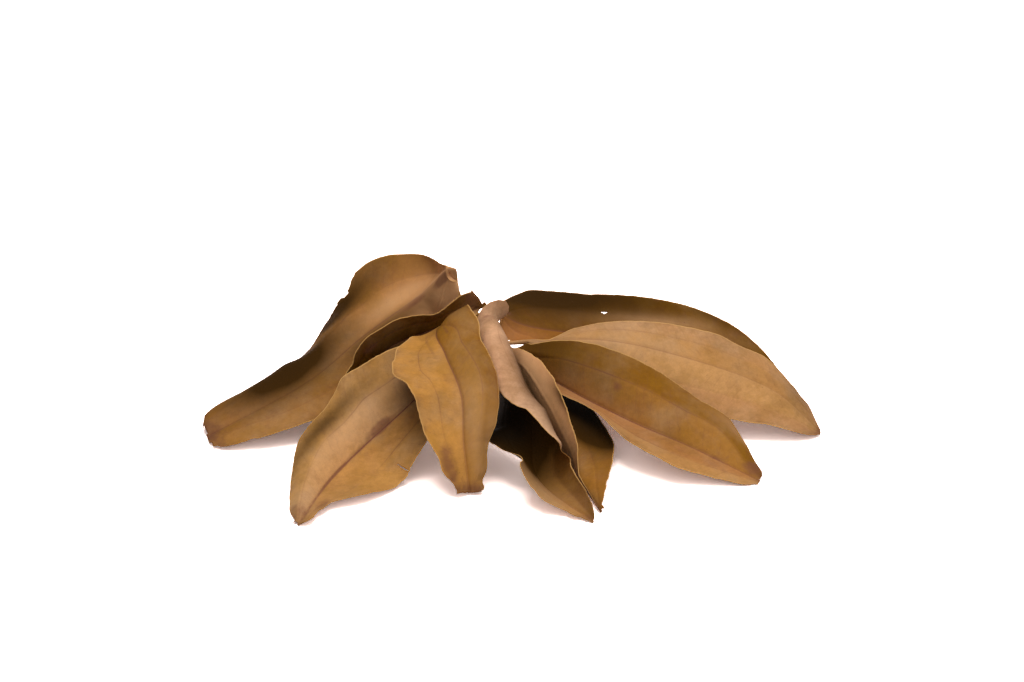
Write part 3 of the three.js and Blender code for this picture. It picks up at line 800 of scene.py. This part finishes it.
def grown(obj, tree, values):
    """Runs the tree on the object with its inputs set, and returns a new object with the plain result."""
    modifier = obj.modifiers.new("grow", "NODES")
    modifier.node_group = tree
    for item in tree.interface.items_tree:
        if item.in_out == "INPUT" and item.name in values:
            modifier[item.identifier] = values[item.name]
    view = bpy.context.evaluated_depsgraph_get()
    mesh = bpy.data.meshes.new_from_object(obj.evaluated_get(view), depsgraph=view)
    name = obj.name
    source = obj.data
    bpy.data.objects.remove(obj)
    (bpy.data.curves if isinstance(source, bpy.types.Curve) else bpy.data.meshes).remove(source)
    mesh.name = name
    result = bpy.data.objects.new(name, mesh)
    bpy.context.scene.collection.objects.link(result)
    return result


# ---- what a user can change ----


def millimetres(name, description, default):
    return bpy.props.FloatProperty(name=name, description=description + ", mm", default=default)


def colour(name, description, screen_colour=(0, 0, 0)):
    return bpy.props.FloatVectorProperty(
        name=name, description=description, default=shade(*screen_colour),
        subtype="COLOR", size=3, min=0.0, max=1.0)


class SprigSizes(bpy.types.PropertyGroup):
    """Sizes of the fine shape of the blades and the twig, in mm."""

    blade: millimetres("Blade", "Thickness beside the midrib", 0.34)
    rim: millimetres("Rim", "Thickness at the margins", 0.2)
    rag: millimetres("Rag", "Depth of the margins' unevenness", 0.5)
    bite: millimetres("Bite", "Depth of the breaks in a tip", 1.5)
    nerve: millimetres("Midrib", "How far the midrib sinks", 0.25)
    side_nerve: millimetres("Side nerve", "How far a side nerve sinks", 0.12)
    pucker: millimetres("Pucker", "Height between fine veins", 0.05)
    wave: millimetres("Wave", "Height of the slow waves", 0.9)
    twig: millimetres("Twig", "Radius of the twig", 1.7)
    swell: millimetres("Swell", "Swelling where stalks leave the twig", 1.3)
    wrinkle: millimetres("Wrinkle", "Depth of the bark's wrinkles", 0.35)


class SprigColours(bpy.types.PropertyGroup):
    """Colours shared by all the leaves, and the twig's."""

    ochre: colour("Ochre", "Cloudy tint", (172, 124, 60))
    # Rim also paints a highlight along the leaves' thin margins, besides the bark's pale pores.
    rim: colour("Rim", "Thin margins", (215, 165, 100))
    stain: colour("Stain", "Nerves and stains", (115, 72, 55))
    olive: colour("Olive", "Mottling", (138, 98, 38))
    # Flush is partly the leaves' own flush, partly a painted glow of light through the blade.
    flush: colour("Flush", "Pink flushes", (215, 145, 95))
    # Deep is the colour of the painted shade.
    painted_shade: colour("Deep", "Deep shades", (55, 33, 4))
    # Pale is the colour of the painted light.
    pale: colour("Pale", "Paler places", (232, 182, 132))
    burnt: colour("Browned", "Tips and specks", (95, 62, 42))
    bark: colour("Bark", "Bark in its furrows", (60, 40, 28))
    bark_ridge: colour("Ridge", "Bark ridges", (125, 92, 62))


class LeafLook(bpy.types.PropertyGroup):
    """One leaf's colours: its own, with painted shade and light in its strips."""

    left_strip: colour("Left strip", "Beyond the left side nerve")
    left: colour("Left", "Upper side, left of the midrib")
    right: colour("Right", "Upper side, right of the midrib")
    right_strip: colour("Right strip", "Beyond the right side nerve")
    underside: colour("Underside", "Underside")


def look_of(scene, name):
    """A leaf's colours, painted shade and light included, from its list until a user changes them."""
    look = scene.sprig_looks.get(name)
    if look is None:
        look = scene.sprig_looks.add()
        look.name = name
        for key, screen_colour in zip(LOOK_KEYS, LOOKS[name]):
            setattr(look, key, shade(*screen_colour))
    return look


# ---- operators ----


class SPRIG_OT_leaf(bpy.types.Operator):
    """One curled leaf with its stalk, nerves, torn margins and finish"""

    bl_idname = "sprig.leaf"
    bl_label = "Leaf"
    bl_options = {"REGISTER", "UNDO"}

    piece: bpy.props.EnumProperty(name="Leaf", description="Which leaf", items=[(n, n, n) for n in LEAVES])

    def execute(self, context):
        scene = context.scene
        sizes = scene.sprig_sizes
        sheet = leaf_sheet(self.piece, sizes)
        obj = bpy.data.objects.new(self.piece + "_blade", closed_sheet(self.piece, sheet, sizes))
        scene.collection.objects.link(obj)
        material = leaf_material(self.piece, look_of(scene, self.piece), scene.sprig_colours)
        tree = bpy.data.node_groups.get("blade_relief") or relief_tree()
        blade = grown(obj, tree, {
            "Material": material, "Nerve depth": sizes.nerve, "Side nerve depth": sizes.side_nerve,
            "Pucker": sizes.pucker, "Wave": sizes.wave, "Seed": float(sheet["seed"])})
        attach(blade, "root")
        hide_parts(self.piece)
        return {"FINISHED"}


class SPRIG_OT_twig(bpy.types.Operator):
    """The short cut twig, with its bud, its swollen nodes and its bark"""

    bl_idname = "sprig.twig"
    bl_label = "Twig"
    bl_options = {"REGISTER", "UNDO"}

    def execute(self, context):
        scene = context.scene
        sizes = scene.sprig_sizes
        curve = bpy.data.curves.new("twig_line", "CURVE")
        curve.dimensions = "3D"
        places = np.linspace(0, 1, TWIG_POINTS)
        line = (on_curve(TWIG_LINE, places) - ORIGIN) * MM
        bud = np.sqrt(smooth(places, -0.02, BUD_LENGTH))
        swell = sum(sizes.swell * np.exp(-(((places - at) / NODE_LENGTH) ** 2)) for at in TWIG_NODES)
        spline = curve.splines.new("POLY")
        spline.points.add(len(places) - 1)
        for point, spot, radius in zip(spline.points, line, (sizes.twig + swell) * bud * MM):
            point.co = (*spot, 1)
            point.radius = radius
        obj = bpy.data.objects.new("twig_bark", curve)
        scene.collection.objects.link(obj)
        twig = grown(obj, twig_tree(), {
            "Material": bark_material(scene.sprig_colours), "Wrinkle": sizes.wrinkle, "Sides": TWIG_SIDES})
        for polygon in twig.data.polygons:
            polygon.use_smooth = len(polygon.vertices) == 4
        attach(twig, "root")
        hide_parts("twig")
        return {"FINISHED"}


class SPRIG_OT_stage(bpy.types.Operator):
    """A pale floor, soft light from above, the front and the right, and the camera"""

    bl_idname = "sprig.stage"
    bl_label = "Stage"
    bl_options = {"REGISTER", "UNDO"}

    def execute(self, context):
        scene = context.scene
        mesh = bpy.data.meshes.new("floor")
        corners = [(FLOOR_REACH * x, FLOOR_REACH * y, 0) for x, y in ((-1, -1), (1, -1), (1, 1), (-1, 1))]
        mesh.from_pydata(corners, [], [(0, 1, 2, 3)])
        floor = bpy.data.objects.new("floor", mesh)
        scene.collection.objects.link(floor)
        material, nodes = new_material("pale_floor")
        seen = seen_directly(nodes)
        paper = nodes.add("ShaderNodeBsdfDiffuse", None, {"Color": nodes.mix(seen, FLOOR_LIT_BY, FLOOR_SEEN)})
        glow = nodes.add("ShaderNodeEmission", None, {
            "Color": FLOOR_GLOW, "Strength": seen * FLOOR_GLOW_STRENGTH})
        both = nodes.add("ShaderNodeAddShader", None, {0: paper, 1: glow})
        output = nodes.tree.nodes.new("ShaderNodeOutputMaterial")
        nodes.tree.links.new(both.socket, output.inputs["Surface"])
        mesh.materials.append(material)

        world = bpy.data.worlds.new("soft_room")
        scene.world = world
        world.use_nodes = True
        world.node_tree.nodes.clear()
        air = Nodes(world.node_tree)
        seen = seen_directly(air)
        glow = air.add("ShaderNodeBackground", None, {
            "Color": (1.0, 1.0, 1.0, 1), "Strength": ROOM_LIGHT + (1 - ROOM_LIGHT) * seen})
        output = world.node_tree.nodes.new("ShaderNodeOutputWorld")
        world.node_tree.links.new(glow.socket, output.inputs["Surface"])

        for name, (tilt, turn, angle, strength) in LAMPS.items():
            light = bpy.data.lights.new(name, "SUN")
            light.energy = strength
            light.angle = math.radians(angle)
            light.color = LAMP_COLOUR
            lamp = bpy.data.objects.new(name, light)
            lamp.rotation_euler = (math.radians(tilt), 0, math.radians(turn))
            scene.collection.objects.link(lamp)

        camera = bpy.data.objects.new("camera", bpy.data.cameras.new("camera"))
        camera.data.lens = CAMERA_LENS
        camera.data.sensor_width = CAMERA_SENSOR
        height = math.radians(CAMERA_ELEVATION)
        target = (np.array(CAMERA_TARGET) - ORIGIN) * MM
        camera.location = target + CAMERA_DISTANCE * np.array([0, -math.cos(height), math.sin(height)])
        camera.rotation_euler = (math.pi / 2 - height, 0, 0)
        scene.collection.objects.link(camera)
        scene.camera = camera
        scene.view_settings.view_transform = "Standard"
        return {"FINISHED"}


class SPRIG_PT_panel(bpy.types.Panel):
    """The sprig's pieces, sizes and colours"""

    bl_idname = "SPRIG_PT_panel"
    bl_label = "Dried cinnamon leaves"
    bl_space_type = "VIEW_3D"
    bl_region_type = "UI"
    bl_category = "Sprig"

    def draw(self, context):
        layout = self.layout
        for group in (context.scene.sprig_sizes, context.scene.sprig_colours):
            for key in group.bl_rna.properties.keys():
                if key not in ("rna_type", "name"):
                    layout.prop(group, key)
        for name in LEAVES:
            layout.operator("sprig.leaf", text=name).piece = name
        layout.operator("sprig.twig")
        layout.operator("sprig.stage")


CLASSES = (SprigSizes, SprigColours, LeafLook, SPRIG_OT_leaf, SPRIG_OT_twig, SPRIG_OT_stage, SPRIG_PT_panel)


def register():
    for cls in CLASSES:
        bpy.utils.register_class(cls)
    bpy.types.Scene.sprig_sizes = bpy.props.PointerProperty(type=SprigSizes)
    bpy.types.Scene.sprig_colours = bpy.props.PointerProperty(type=SprigColours)
    bpy.types.Scene.sprig_looks = bpy.props.CollectionProperty(type=LeafLook)


def unregister():
    del bpy.types.Scene.sprig_looks
    del bpy.types.Scene.sprig_colours
    del bpy.types.Scene.sprig_sizes
    for cls in reversed(CLASSES):
        bpy.utils.unregister_class(cls)


def main():
    register()
    bpy.ops.sprig.stage()
    bpy.ops.sprig.twig()
    for name in LEAVES:
        bpy.ops.sprig.leaf(piece=name)


if __name__ == "__main__":
    main()
